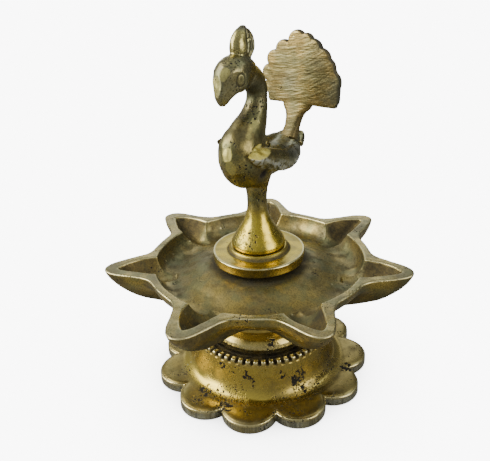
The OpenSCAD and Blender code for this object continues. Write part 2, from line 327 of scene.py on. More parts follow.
def make_foot():
    count = PETALS * TEETH
    angle = np.arange(count) * TAU / count
    petal = petal_radius(angle)
    valley = (PETAL_TIP - petal) / (PETAL_TIP - PETAL_VALLEY)
    # hand-filed petals differ a little from one another
    index = np.floor((angle - math.radians(PETAL_AIM)) / (TAU / PETALS) + 0.5).astype(int) % PETALS
    random = np.random.default_rng(11)
    petal = petal - random.uniform(0, 0.45, PETALS)[index] * (1 - valley)
    edge_z = 3.5 + random.uniform(-0.25, 0.2, PETALS)[index] * (1 - valley)
    # 1 on a tooth and 0 in a cut, with sloping sides
    beat = (angle * TEETH / TAU) % 1
    tooth = ramp(np.abs(beat - 0.5), 0.17, 0.27)
    rings = []

    def add_ring(radius, height):
        rings.append(level_ring(angle, radius, height))

    def petal_ring(inset, height, follow=1.0):
        """A ring that follows the petals' outline, or less of it when follow is under 1."""
        add_ring((petal - inset) * follow + (36.4 - inset * 0.4) * (1 - follow), height)

    # underside, from the middle hole out to the petals' lower edge
    hollow = rounded([(23.5, WEB_BELOW), (25.4, WEB_BELOW), (26.7, 11.6), (27.6, 8.4), (28.8, 5.2),
                      (30.6, 2.6), (32.6, 0.9), (34.2, 0)], 1.2, 0.6)
    for r, z in [(HOLE_R, 16), (HOLE_R, WEB_BELOW), (15, WEB_BELOW), *hollow]:
        add_ring(r, z)
    for follow in (0.3, 0.6, 0.85):
        petal_ring(1.4, 0, follow)
    petal_ring(0.9, 0)
    petal_ring(0.45, 0.08)
    petal_ring(0.18, 0.4)
    for t in np.linspace(0.9, 2.9, 6):
        petal_ring(0.04 + 0.03 * t, t)
    # the top edge of the petals is filed round
    for inset, drop in ((0.16, 0.35), (0.3, 0.16), (0.55, 0.04), (0.9, 0)):
        add_ring(petal - inset, edge_z - drop)
    # the petals' top faces swell a little and crease towards each valley
    for t in np.linspace(0.12, 1, 14):
        follow = 1 - t ** 1.5
        r = (petal - 0.9) * follow + 36.2 * (1 - follow)
        r = np.minimum(r, petal - 0.9)
        swell = 0.35 * math.sin(math.pi * min(1, t * 1.1)) * (1 - valley ** 2)
        crease = 0.35 * valley ** 3 * (1 - t)
        add_ring(r, edge_z * (1 - t) + 3.95 * t + swell - crease)
    # cove and bell
    wall = smooth_curve([(36.1, 4.0), (34.2, 4.4), (32.4, 5.3), (31.0, 6.9), (30.1, 9.0),
                         (29.5, 11.6), (29.1, 14.6), (28.85, 16.8), (28.75, 17.7)], 7)
    for r, z in wall[1:]:
        add_ring(r, z)
    # milled ring: the outer top corner is cut into teeth
    for r_tooth, r_cut, z_tooth, z_cut in ((28.6, 28.6, 18.2, 18.2), (28.6, 28.2, 18.6, 18.4),
                                           (28.58, 27.5, 19.2, 18.7), (28.5, 27.1, 19.8, 18.9),
                                           (28.3, 26.9, 20.25, 19.0), (27.9, 26.6, 20.4, 19.1),
                                           (27.2, 26.2, 20.35, 19.3), (26.6, 25.9, 20.2, 19.7)):
        add_ring(r_cut + (r_tooth - r_cut) * tooth, z_cut + (z_tooth - z_cut) * tooth)
    # the groove inside the ring, with a fine turned line, and the web under the neck
    inner = rounded([(25.8, 20.0), (25.3, 18.9), (24.9, 18.5), (24.5, 18.75), (24.1, 18.75),
                     (23.7, WEB_ABOVE), (22.9, WEB_ABOVE), (22.6, 18.65), (22.2, WEB_ABOVE),
                     (21.6, WEB_ABOVE)], 0.4, 0.12)
    for r, z in [*inner, (14, WEB_ABOVE), (HOLE_R, WEB_ABOVE)]:
        add_ring(r, z)
    faces = rings_to_faces(len(rings), count, closed_rows=True)
    foot = new_piece("foot_cast", np.concatenate(rings) * MM, faces)
    p = points_of(foot)
    r = radius_of(p)
    upper = ramp(p[:, 2], 0.3, 1.2) * ramp(r, 26, 29)
    p[:, :2] *= (1 - 0.0025 * upper * (1 + waves(p, 3, 26, 2)))[:, None]
    p[:, 2] += 0.09 * waves(p, 4, 18, 2) * upper * ramp(44.8 - r, 0, 1) * ramp(18.0 - p[:, 2], 0, 2)
    set_points(foot, p)
    # bright worn petal edges and teeth; darker in the groove and in the cuts between the teeth
    around = np.arctan2(p[:, 1], p[:, 0])
    edge = petal_radius(around % TAU)
    on_edge = ramp(r, edge - 1.3, edge - 0.35) * ramp(p[:, 2], 2.4, 3.1)
    side = ramp(r, edge - 0.7, edge - 0.3) * (1 - ramp(p[:, 2], 2.3, 3.2)) * ramp(r, 35, 37)
    beat = (around * TEETH / TAU) % 1
    on_tooth = ramp(np.abs(beat - 0.5), 0.2, 0.3)
    ring_zone = ramp(p[:, 2], 18.0, 18.6) * ramp(r, 25.6, 26.2)
    tooth_tops = ring_zone * on_tooth * ramp(p[:, 2], 18.9, 19.6)
    # the sides' share of worn here is painted light: it brightens the petals' upright sides as light
    # from the floor would
    store(foot, "worn", on_edge * 0.85 + 0.35 * side + tooth_tops)
    groove = ramp(p[:, 2], 17.9, 18.2) * (1 - ramp(r, 26.3, 26.7)) * ramp(r, 20, 21)
    cuts = ring_zone * (1 - on_tooth)
    smudge = 0.35 * ramp(waves(p, 12, 9, 3), 0.0, 0.8)
    smudge = smudge * ramp(r, 34, 36) * (1 - ramp(r, edge - 2, edge - 0.8))
    # upright file marks on the petals' sides, one in each column of points
    strokes = np.tile(random.uniform(0, 1, count), len(rings))
    marks = 0.75 * side * ramp(strokes, 0.45, 0.9)
    store(foot, "dirt_and_shade", np.maximum.reduce([groove, cuts, smudge, marks]))
    # painted light: the petals' sides are made paler with chalk over their grey patina, as light
    # from the floor would make them
    store(foot, "chalk_and_painted_light", 0.4 * side)
    store(foot, "patina", 0.55 * ramp(r, 33.5, 36.5) * (1 - on_edge) * (1 - side))
    store(foot, "grey", side)
    # painted highlight: the cove and the bell are painted more golden on the side towards
    # FOOT_FRONT, where the window's light falls
    frontwards = towards(p, FOOT_FRONT)
    bell = ramp(p[:, 2], 4.5, 6.0) * (1 - ramp(p[:, 2], 17, 18)) * ramp(r, 27, 28)
    bell = 0.30 * bell * ramp(frontwards, 0, 26)
    cove = ramp(p[:, 2], 3.9, 4.6) * (1 - ramp(p[:, 2], 6.5, 9))
    cove = 0.55 * cove * ramp(frontwards, 14, 30)
    store(foot, "gold", np.maximum(cove, bell))
    store(foot, "pits", spots(p, FOOT_PITS))
    return foot


# ---------------------------------------------------------------- neck and collar
def make_neck():
    outer = [(0.01, 8.6), (5, 8.6), (5, 18.45), (21.2, 18.45), (22.0, 19.6), (22.2, 21),
             (21.8, 22.8), (20.6, 24.6), (18.6, 26.2), (17.6, 26.6), (17.6, 27.6), (18.2, 28.2),
             (19.6, 30), (22.6, 32.4), (26.4, 33.8), (28.5, 34.2), (28.5, 35.9), (24, 35.9),
             (24, 43.4), (19, 43.4), (19, 34), (14, 29), (13, 26), (10, 24), (0.01, 24)]
    neck = turned("neck_turned", rounded(outer, 0.7, 0.5), 200)
    p = points_of(neck)
    r = radius_of(p)
    store(neck, "worn", 0.55 * ramp(r, 19, 22) * ramp(24.5 - p[:, 2], 0, 3))
    # darker low on the neck's rim, where it sits down in the foot's groove
    store(neck, "dirt_and_shade", ramp(r, 19.5, 21.5) * (1 - ramp(p[:, 2], 18.9, 20.4)))
    store(neck, "pits", spots(p, NECK_PITS))
    return neck


def make_collar():
    outline = [(3.1, 50.66), (14.4, 50.66), (14.4, 52.3), (17.9, 52.4), (18.6, 53.1),
               (18.85, 56.5), (18.65, 56.85), (18.0, 56.95), (15.6, 56.7), (12.6, 56.75),
               (12.2, 57.3), (11.7, 58.1), (11.2, 58.45), (3.1, 58.5)]
    collar = turned("collar_turned", rounded(outline, 0.35, 0.28, closed=True), 224, closed=True)
    p = points_of(collar)
    r = radius_of(p)
    outer = ramp(r, 14.6, 17)
    p[:, :2] *= (1 - outer * (0.0035 + 0.003 * waves(p, 21, 15, 2)))[:, None]
    p[:, 2] += 0.07 * waves(p, 22, 11, 2) * outer - 0.07 * outer
    set_points(collar, p)
    rim = ramp(r, 17.7, 18.3) * ramp(p[:, 2], 56.2, 56.6)
    store(collar, "worn", rim)
    # painted shade: darker in the step round the trumpet's foot and under the collar, where shade
    # falls
    step = (1 - ramp(np.abs(r - 12.4), 0.2, 1.0)) * ramp(p[:, 2], 56, 56.5) * 0.9
    under = 1 - ramp(p[:, 2], 52.2, 53.4)
    store(collar, "dirt_and_shade", np.maximum(step, under))
    top = ramp(p[:, 2], 56.2, 56.6) * (1 - rim)
    store(collar, "gold", 0.75 * top)
    store(collar, "patina", 0.5 * top * ramp(waves(p, 23, 8, 3), -0.8, 0.6))
    return collar


# ---------------------------------------------------------------- oil dish
SPOUTS = 7
SPOUT_SWAY = (3.2, 0.5, 1.8, 1.8, 0.0, -2.8, -1.2)      # degrees off each one's even place
SPOUT_REACH = (63.4, 61.4, 62.3, 63.0, 62.3, 63.4, 63.4)
RIM_Z = 52.85
RIM = (46.1, 0.1, 9.4)      # the last three numbers of DISH_LEVELS at the rim
# the side of the bowl that gets painted shade and painted light
BOWL_FRONT = (0.54, -0.84)
# height, radius between spouts, how far a spout's tip is pulled in, a spout's width in degrees
DISH_LEVELS = [(36.1, 28.7, 30.5, 11.5), (37.6, 30.6, 20.2, 10.8), (39.6, 33.3, 13.0, 9.6),
               (42.0, 36.9, 8.7, 8.9), (44.9, 41.0, 5.2, 8.8), (47.9, 44.3, 2.6, 9.1),
               (50.6, 45.7, 0.9, 9.3), (RIM_Z, *RIM)]
BOWL = [(0.01, 50.55), (18.6, 50.5), (21, 50.3), (24, 49.6), (27, 48.5), (30, 47.3), (33, 46.3),
        (35.5, 45.8), (37.8, 45.9), (39.6, 46.7), (41.0, 48.2), (42.1, 50.3), (42.7, 52),
        (42.9, RIM_Z), (43.3, 58), (0.01, 58)]
# distance from the axis, half width and depth of a wick channel
CHANNEL = [(34.5, 7.4, 45.0), (39, 7.5, 44.5), (43, 7.1, 44.4), (46, 6.5, 45.1), (49, 5.6, 46.4),
           (52, 4.3, 48.1), (54.5, 2.9, 49.8), (56.3, 1.5, 51.2), (57.4, 0.3, 52.2)]


def spout_angle(k):
    return math.radians(-90 + k * 360 / SPOUTS + SPOUT_SWAY[k])


def dish_radius(angle, body, pull, width):
    """The dish's outline at one level: a round body with a rounded point at each spout."""
    r = np.full(len(angle), body)
    for k in range(SPOUTS):
        off = (angle - spout_angle(k) + math.pi) % TAU - math.pi
        off = np.degrees(np.abs(off))
        r += (SPOUT_REACH[k] - pull - body) * np.exp(-(off / width) ** 2.3)
    return r


def make_dish():
    count = SPOUTS * 60
    angle = np.arange(count) * TAU / count
    rings = [level_ring(angle, dish_radius(angle, *outline), z)
             for z, *outline in smooth_curve(DISH_LEVELS, 5)]
    dish = new_piece("dish_cast", np.concatenate(rings) * MM, rings_to_faces(len(rings), count))
    cut(dish, turned("bowl_tool", rounded(BOWL, 0.8, 1.2), 196))
    recess = [(8, 30), (24.1, 30), (24.1, 44), (8, 44)]
    cut(dish, turned("recess_tool", recess, 128, closed=True))
    cut(dish, turned("bore_tool", [(3.05, 30), (3.05, 60)], 48))
    for k in range(SPOUTS):
        cut(dish, channel_tool(k))
    skin = fuse("dish_cast", [dish], 0.42, 2)
    p = points_of(skin)
    r = radius_of(p)
    normal = normals_of(skin)
    outer = ramp(r, 26, 32)
    p += normal * (0.10 * waves(p, 31, 13, 3) * outer)[:, None]
    p[:, 2] += outer * (0.12 * waves(p, 32, 34, 2) - 0.1) * ramp(p[:, 2], 44, 50)
    set_points(skin, p)
    normal = normals_of(skin)
    around = np.arctan2(p[:, 1], p[:, 0])
    outline = dish_radius(around, *RIM)
    up = normal[:, 2]
    top = ramp(p[:, 2], 52.0, 52.5)
    flat = top * ramp(up, 0.86, 0.97)
    edge = top * (1 - ramp(up, 0.9, 0.985)) * ramp(up, -0.1, 0.35)
    store(skin, "worn", edge * 0.9 + 0.12 * flat)
    inside = (1 - ramp(r, outline - 3.0, outline - 1.8)) * (1 - top)
    facing = ramp(up, -0.2, 0.1)
    in_channel = inside * facing * ramp(r, 40.8, 44.5)
    # painted shadow: the bowl's floor is darkened round the collar's foot
    painted_collar_shadow = (1 - ramp(r, 18.4, 22.5)) * ramp(p[:, 2], 48, 49.5)
    # painted shade: darker under the dish, on the faces that turn downwards
    below = (1 - ramp(p[:, 2], 41, 48)) * ramp(r, 27, 30) * (1 - facing)
    stain = 0.35 * inside * facing * ramp(waves(p, 33, 6, 3), 0.0, 0.6)
    frontwards = towards(p, BOWL_FRONT)
    # painted shade: the bowl is darkened on its near side, towards BOWL_FRONT
    painted_near_shade = 0.5 * inside * facing * ramp(frontwards, 20, 36)
    store(skin, "dirt_and_shade", np.maximum.reduce([0.8 * in_channel, painted_collar_shadow * 0.8, 0.8 * below, stain,
                                           painted_near_shade]))
    store(skin, "grey", 0.35 * flat)
    bowl_zone = inside * facing * (1 - ramp(r, 42.5, 44)) * ramp(p[:, 2], 44, 44.6)
    # painted light: less patina towards BOWL_FRONT, so the bowl's near side shows more golden, as
    # the window's light falls there
    painted_near_light = ramp(frontwards, 4, 34)
    store(skin, "patina", bowl_zone * (1 - 0.4 * painted_near_light) * (0.75 + 0.25 * waves(p, 34, 9, 3)))
    return skin


def channel_tool(k):
    """A boat-shaped groove from the bowl out to a point in the spout."""
    random = np.random.default_rng(70 + k)
    stretch = random.uniform(0.97, 1.03)
    across = np.linspace(-1, 1, 15)
    rings = []
    for s, half, low in smooth_curve(CHANNEL, 5):
        s = 42 + (s - 42) * stretch
        bend = 0.35 * math.sin(s * 0.35 + k)
        y = list(half * across + bend)
        z = list(low + (RIM_Z - low) * np.abs(across) ** 1.9)
        y += [half * 1.02 + bend, -half * 1.02 + bend]
        z += [RIM_Z + 4, RIM_Z + 4]
        rings.append(np.c_[np.full(len(y), s), y, z])
    turn = spout_angle(k)
    co = np.concatenate(rings)
    x = co[:, 0] * math.cos(turn) - co[:, 1] * math.sin(turn)
    y = co[:, 0] * math.sin(turn) + co[:, 1] * math.cos(turn)
    faces = rings_to_faces(len(rings), len(across) + 2)
    tool = new_piece("channel_tool", np.c_[x, y, co[:, 2]] * MM, faces)
    fix_normals(tool)
    return tool


def fix_normals(piece):
    mesh = bmesh.new()
    mesh.from_mesh(piece.data)
    bmesh.ops.recalc_face_normals(mesh, faces=mesh.faces)
    mesh.to_mesh(piece.data)
    mesh.free()


# ---------------------------------------------------------------- peacock
BIRD_AIM = math.radians(-97)


def bird_to_world(co):
    """Bird coordinates are forward, left and up from the lamp's axis."""
    c, s = math.cos(BIRD_AIM), math.sin(BIRD_AIM)
    return np.c_[co[:, 0] * c - co[:, 1] * s, co[:, 0] * s + co[:, 1] * c, co[:, 2]]


def world_to_bird(co):
    c, s = math.cos(BIRD_AIM), math.sin(BIRD_AIM)
    return np.c_[co[:, 0] * c + co[:, 1] * s, -co[:, 0] * s + co[:, 1] * c, co[:, 2]]


def sweep(name, stops, count, square=1.0):
    """Oval rings along a path. A stop is (forward, up, half depth, half width, sideways).
    square under 1 makes the ovals boxier."""
    path = smooth_curve(stops, 5)
    along = np.gradient(path[:, :2], axis=0)
    along /= np.linalg.norm(along, axis=1)[:, None]
    angle = np.arange(count) * TAU / count
    deep = np.sign(np.cos(angle)) * np.abs(np.cos(angle)) ** square
    wide = np.sign(np.sin(angle)) * np.abs(np.sin(angle)) ** square
    rings = []
    for (s, z, a, b, side), (ts, tz) in zip(path, along):
        rings.append(np.c_[s - tz * a * deep, side + b * wide, z + ts * a * deep])
    faces = rings_to_faces(len(rings), count)
    part = new_piece(name, bird_to_world(np.concatenate(rings)) * MM, faces)
    fix_normals(part)
    return part


# the stops that sweep() makes each part of the bird from
BODY = [(0, 82.5, 4.0, 4.1, 0), (-0.2, 85.9, 4.9, 5.2, 0), (0.9, 89.4, 7.6, 7.2, 0),
        (3.9, 94.0, 10.8, 8.7, 0), (6.5, 99.2, 11.6, 8.6, 0), (6.1, 102.6, 10.6, 7.9, 0),
        (4.4, 105.8, 8.3, 6.5, 0), (1.2, 110.3, 5.8, 5.5, 0), (-1.0, 114.4, 4.5, 4.5, 0),
        (-2.0, 118.4, 3.9, 4.0, 0), (-1.6, 122, 4.1, 4.1, 0), (0.8, 125.4, 4.7, 4.4, 0),
        (4.4, 127.3, 5.2, 4.8, 0)]
HEAD = [(1.5, 127.4, 3.0, 3.4, 0), (5.0, 128.9, 5.2, 5.1, 0), (9.0, 129.1, 6.5, 5.9, 0),
        (12.6, 127.7, 6.7, 6.0, 0), (15.2, 125.2, 5.2, 4.9, 0), (16.7, 122.4, 3.5, 3.3, 0),
        (17.3, 120.2, 2.0, 2.0, 0), (17.5, 118.9, 0.9, 1.0, 0)]
CREST = [(6.6, 130.0, 4.4, 3.6, 0), (6.9, 132.8, 3.5, 3.1, 0), (6.9, 134.4, 3.3, 3.0, 0),
         (6.8, 136.4, 4.3, 3.2, 0), (6.3, 138.6, 4.4, 3.1, 0), (5.5, 141, 3.4, 2.4, 0),
         (4.4, 143, 1.9, 1.5, 0), (3.6, 143.9, 0.6, 0.6, 0)]
CREST_CURL = [(3.0, 133.4, 0.9, 1.5, 0.4), (1.8, 136.3, 1.7, 2.0, 0.4), (1.7, 138.6, 1.8, 2.0, 0.3),
              (2.2, 140.8, 1.6, 1.8, 0.2), (2.9, 142.4, 1.1, 1.2, 0.1), (3.3, 143.2, 0.4, 0.4, 0)]
RUMP = [(2, 94.4, 7.4, 7.4, 0), (-5.5, 93.2, 6.6, 6.9, 0), (-12, 92.8, 5.7, 6.4, 0),
        (-17.5, 94.0, 5.1, 5.6, 0), (-21.6, 96.8, 4.4, 4.6, 0), (-23.2, 99.6, 3.4, 3.7, 0)]
KNOB = [(-24.6, 95.0, 2.9, 3.0, 2), (-27.3, 97.4, 2.2, 2.2, 2), (-28.0, 99.4, 0.9, 0.9, 2)]
WING = [(14.6, 101.5, 0.5, 0.5, 8.7), (11.6, 100.4, 2.4, 1.9, 8.9), (6.4, 98.7, 3.8, 2.7, 8.7),
        (-0.3, 96.1, 4.3, 3.0, 8.0), (-7.5, 93.6, 4.2, 3.1, 7.2), (-13.5, 92.5, 4.0, 3.0, 6.2),
        (-18.7, 93.5, 3.4, 2.5, 5.2), (-21.8, 95.9, 1.5, 1.4, 4.2)]
FAR_WING = (-3.0, 2.8, 1.02)        # the far wing sits further back, higher and further out
BIRD_FOOT_Z = 58.56
BIRD_TOP_Z = 144.2
TRUMPET = [(0.01, BIRD_FOOT_Z), (10.4, BIRD_FOOT_Z), (10.9, 59.4), (10.9, 60.4), (10.1, 62.2),
           (8.6, 64.4), (7.2, 66.6), (5.8, 69), (4.8, 71.4), (4.2, 74), (3.95, 77), (4.05, 80.5),
           (4.4, 84), (4.4, 88), (0.01, 88)]


def facet(p, normals, spot, depth, reach, faces, only=True):
    """Files a flat at the surface point nearest the spot. It faces as faces says, or as the
    surface does there. Returns how deep each point was filed, as a share of depth.
    only limits the file to some points."""
    away = np.linalg.norm(p - np.array(spot), axis=1)
    nearest = p[np.argmin(away)]
    close = np.linalg.norm(p - nearest, axis=1)
    face = np.array(faces, float) if faces else normals[close < 1.5].sum(axis=0)
    face /= np.linalg.norm(face)
    near = (close < reach) & only
    height = p @ face
    over = np.where(near, height - (height[near].max() - depth), 0)
    hit = over > 0
    p[hit] -= (over[hit] * 0.92)[:, None] * face
    return np.where(hit, over / depth, 0)


def blob(p, spot, size):
    """1 at the spot, fading to almost 0 at twice the size given for each direction."""
    return np.exp(-np.sum(((p - np.array(spot)) / np.array(size)) ** 2, axis=1))


EYE_AT = (13.0, 127.5)
EYE_SIZE = (1.55, 2.25)
SINK_HOLE = (4.9, 7.4, 91.4)
# spot, depth filed off, reach, how bright it is worn, the way it faces (None: as the surface does)
FLATS = [((19, -0.5, 127.0), 0.60, 6, 0.45, (0.97, -0.15, 0.12)),
         ((13, 6, 126.0), 1.00, 8, 0.05, (0.42, 0.90, -0.12)),
         ((13, -6, 126.0), 1.00, 8, 0.05, (0.42, -0.90, -0.12)),
         ((17, 3.2, 129.4), 0.30, 6, 0.6, (0.80, 0.44, 0.40)),
         ((17.8, 1.6, 121.8), 0.20, 4, 0.3, None),
         ((17.8, 1.2, 101.6), 0.35, 5, 0.85, None),
         ((16.2, -3.6, 99.4), 0.45, 6, 0.5, None),
         ((17.3, 1.8, 96.6), 0.35, 5, 0.45, None),
         ((13.5, 6.4, 98.0), 0.35, 5, 0.1, None),
         ((9.0, 4.5, 108.0), 0.25, 6, 0.3, None)]


def make_peacock():
    parts = [sweep("body", BODY, 40), sweep("head", HEAD, 36), sweep("crest", CREST, 28),
             sweep("curl", CREST_CURL, 20), sweep("rump", RUMP, 32), sweep("knob", KNOB, 20)]
    parts.append(sweep("wing", WING, 28))
    back, up, outwards = FAR_WING
    far_wing = [(s + back, z + up, a, b, -off * outwards) for s, z, a, b, off in WING]
    parts.append(sweep("wing", far_wing, 28))
    parts.append(turned("trumpet", rounded(TRUMPET, 1.0, 0.5), 64))
    bird = fuse("peacock_cast", parts, 0.31, 6)
    q = world_to_bird(points_of(bird))
    normal = world_to_bird(normals_of(bird))
    worn = np.zeros(len(q))
    for spot, depth, reach, shine, faces in FLATS:
        filed = facet(q, normal, spot, depth, reach, faces)
        worn = np.maximum(worn, shine * ramp(filed, 0, 0.3))
    # wing tops are filed to a slanting leaf
    leaf = np.zeros(len(q))
    for side in (1, -1):
        outside = (side * q[:, 1] > 7.4) & (q[:, 2] < 106)
        shoulder = (5.5, side * 10.6, 100.5)
        filed = facet(q, normal, shoulder, 1.5, 11, (0.12, side * 0.66, 0.74), outside)
        leaf = np.maximum(leaf, ramp(filed, 0, 0.25))
    worn = np.maximum(worn, 0.3 * leaf * ramp(waves(q, 45, 4, 2), -0.6, 0.5))
    # the crest: a smooth blade in front, grooves between the blades behind it
    high = ramp(q[:, 2], 134.4, 136.5) * (1 - ramp(q[:, 2], 142, 143.6))
    lean = q[:, 0] - 5.4 + (q[:, 2] - 139) * 0.22
    for middle, depth in ((-0.4, 0.9), (-1.9, 0.6), (-3.2, 0.45)):
        q -= normal * (high * depth * np.exp(-((lean - middle) / 0.42) ** 2))[:, None]
    blade = high * ramp(lean, 0.6, 1.6)
    # an engraved eye on each side of the head
    side = ramp(np.abs(q[:, 1]), 2.2, 3.2)
    ds, dz = q[:, 0] - EYE_AT[0], q[:, 2] - EYE_AT[1]
    ring = np.exp(-((np.hypot(ds / EYE_SIZE[0], dz / EYE_SIZE[1]) - 1) / 0.16) ** 2) * side
    slit = np.exp(-(ds / 0.28) ** 2 - (dz / 0.9) ** 2) * side
    eye = np.maximum(ring, slit * 0.7)
    q -= normal * (0.30 * eye)[:, None]
    # the casting's sink hole under the near wing
    hole = blob(q, SINK_HOLE, (2.5, 5, 2.2))
    q -= normal * (1.5 * hole)[:, None]
    # the surface is hand-worked, and smoother on the turned trumpet
    rough = ramp(q[:, 2], 62, 74)
    q += normal * ((0.03 + 0.06 * rough) * waves(q, 41, 7.5, 3))[:, None]
    # below its middle the wing keeps the pale skin of the casting
    path = np.array(sorted(WING))
    below = np.interp(q[:, 0], path[:, 0], path[:, 1]) - q[:, 2]
    aside = np.abs(q[:, 1]) - np.interp(q[:, 0], path[:, 0], path[:, 4])
    lower_wing = ramp(aside, -1.0, 0.8) * ramp(below, -1.2, 0.6) * (1 - ramp(below, 3.8, 5.0))
    lower_wing *= ramp(q[:, 0], -20, -15) * (1 - ramp(q[:, 0], 13, 15)) * (1 - leaf)
    q += normal * (0.10 * lower_wing * waves(q, 42, 1.7, 2))[:, None]
    q[:, 2] = np.clip(q[:, 2], BIRD_FOOT_Z, BIRD_TOP_Z)
    set_points(bird, bird_to_world(q))
    pale = lower_wing * ramp(waves(q, 43, 2.2, 2), -0.5, 0.3)
    store(bird, "worn", np.maximum.reduce([worn, 0.45 * blade, 0.4 * pale]))
    # painted shade: nape darkens under the chin and down the back of the neck, under darkens below
    # the near wing, base darkens round the trumpet's foot; root darkens where the crest rises from
    # the head
    nape = np.maximum(blob(q, (2.2, 0, 122.5), (4.0, 7, 4.0)),
                      blob(q, (-3.5, 2, 114), (3.0, 6, 12)))
    root = blob(q, (5.8, 0, 133.2), (5, 6, 1.6))
    under = blob(q, (4, 8, 93.0), (9, 5, 2.2)) * (1 - lower_wing)
    base = 1 - ramp(q[:, 2], 58.6, 59.6)
    store(bird, "dirt_and_shade", np.maximum.reduce([eye * 0.95, 1.5 * hole, 0.6 * nape, 0.5 * root,
                                           0.35 * under, 0.9 * base]))
    rear = ramp(-q[:, 0], 3, 12) * ramp(q[:, 2], 84, 90)
    store(bird, "grey", ramp(q[:, 2], 108, 124) * 0.5 + 0.5 * rear + 0.4 * lower_wing)
    store(bird, "pits", 0.12 * lower_wing)
    neck = ramp(q[:, 2], 101, 107) * (1 - ramp(q[:, 2], 124, 129)) * (1 - ramp(q[:, 0], 7, 11))
    store(bird, "patina", 0.95 * neck)
    # painted highlight: a pale patch on the rump's end, beside the pale casting skin
    painted_rump_highlight = blob(q, (-18, 6, 95), (6, 6, 5))
    store(bird, "chalk_and_painted_light", np.maximum(pale * 0.85, 0.45 * painted_rump_highlight))
    store(bird, "gold", np.maximum.reduce([1 - ramp(q[:, 2], 70, 80), 0.7 * leaf,
                                           0.6 * worn * (1 - ramp(q[:, 2], 104, 110))]))
    return bird


# ---------------------------------------------------------------- tail fan
FAN_BACK = 24.0             # how far behind the lamp's axis the plate stands
FAN_SIDE = 4.2              # how far it stands off to the bird's left
FAN_MID = 118.0             # the height of the plate's middle
FAN_FLOOR = 6.5             # the straight lower edge, below the middle
# each lobe: direction from the middle in degrees, how far it reaches, its radius
LOBES = [(-12, 18.0, 4.4), (13, 18.5, 4.6), (35, 18.3, 4.2), (50, 18.9, 4.2), (68, 19.8, 4.0),
         (80, 20.8, 3.2), (93, 21.5, 3.8), (117, 19.4, 3.7), (139, 18.9, 3.6), (162, 18.3, 3.4),
         (182, 16.5, 3.8), (201, 15.8, 2.8)]
FAN_STEM = [(-20.6, 98.0, 2.8, 3.8, 0.8), (-22.6, 101.6, 2.3, 3.2, 1.2),
            (-23.6, 105.6, 2.0, 3.5, 1.7), (-23.9, 108.2, 1.8, 4.6, 2.3),
            (-24, 110, 1.6, 6.2, 2.9), (-24, 113, 1.4, 7.4, 3.4)]


def fan_reach(angle):
    """How far the plate reaches in each direction: the farthest lobe, cut off straight below."""
    reach = 15.4 + 2.3 * ramp(np.cos(angle), -0.1, 0.7)
    for turn, far, size in LOBES:
        off = (angle - math.radians(turn) + math.pi) % TAU - math.pi
        away = far - size
        inside = size ** 2 - (away * np.sin(off)) ** 2
        edge = away * np.cos(off) + np.sqrt(np.maximum(inside, 0))
        reach = np.maximum(reach, np.where((inside > 0) & (np.cos(off) > 0), edge, 0))
    down = np.maximum(-np.sin(angle), 0.05)
    return np.minimum(reach, np.where(np.sin(angle) < -0.05, FAN_FLOOR / down, 99))


def make_fan():
    count = 720
    angle = np.arange(count) * TAU / count
    reach = fan_reach(angle)
    rings = []
    # inset from the outline (None: the middle) and how far forward, from the front to the back
    for inset, forward in ((None, 1.45), (7, 1.5), (3, 1.5), (1.0, 1.42), (0.5, 1.3), (0.2, 1.05),
                           (0.0, 0.5), (0.0, -0.7), (0.2, -1.2), (0.6, -1.5), (2, -1.6),
                           (6, -1.6), (None, -1.6)):
        r = 0.02 * reach if inset is None else reach - np.minimum(inset, reach * 0.7)
        rings.append(np.c_[np.full(count, forward - FAN_BACK), FAN_SIDE + r * np.cos(angle),
                           FAN_MID + r * np.sin(angle)])
    faces = rings_to_faces(len(rings), count)
    plate = new_piece("plate", bird_to_world(np.concatenate(rings)) * MM, faces)
    fix_normals(plate)
    fan = fuse("fan_filed", [plate, sweep("stem", FAN_STEM, 28, 0.65)], 0.28, 2)
    q = world_to_bird(points_of(fan))
    normal = world_to_bird(normals_of(fan))
    front = ramp(normal[:, 0], 0.5, 0.85)
    # file strokes run across the front, a little uphill
    aside = q[:, 1] - FAN_SIDE
    tilt = q[:, 2] - (0.30 + 0.012 * aside) * aside
    strokes = waves(np.c_[aside * 0.10, tilt, q[:, 0]], 51, 1.1, 3)
    q += normal * (0.035 * front * strokes)[:, None]
    q += normal * (0.08 * waves(q, 52, 9, 2))[:, None]
    set_points(fan, bird_to_world(q))
    # rim: the plate's edge faces, painted darker as painted shade where light falls less
    rim = (1 - ramp(np.abs(normal[:, 0]), 0.5, 0.85)) * ramp(q[:, 2], 111, 113)
    behind = ramp(-normal[:, 0], 0.5, 0.85)
    store(fan, "worn", 0.35 * front * ramp(strokes, 0.1, 0.9))
    stem = 1 - ramp(q[:, 2], 103, 112)
    stain = 0.3 * behind * ramp(waves(q, 53, 8, 3), -0.1, 0.7)
    shadow = 0.25 * ramp(waves(q, 54, 11, 3), 0.0, 0.8)
    store(fan, "dirt_and_shade", np.maximum.reduce([rim * 0.75, 0.4 * stem, stain, shadow]))
    store(fan, "patina", np.maximum(0.6 * stem, 0.7 * behind))
    grey_patch = blob(q, (-FAN_BACK + 1.4, 0.5, 119.5), (3, 3.4, 5.5))
    store(fan, "grey", np.maximum(rim * 0.5, 0.6 * grey_patch))
    return fan


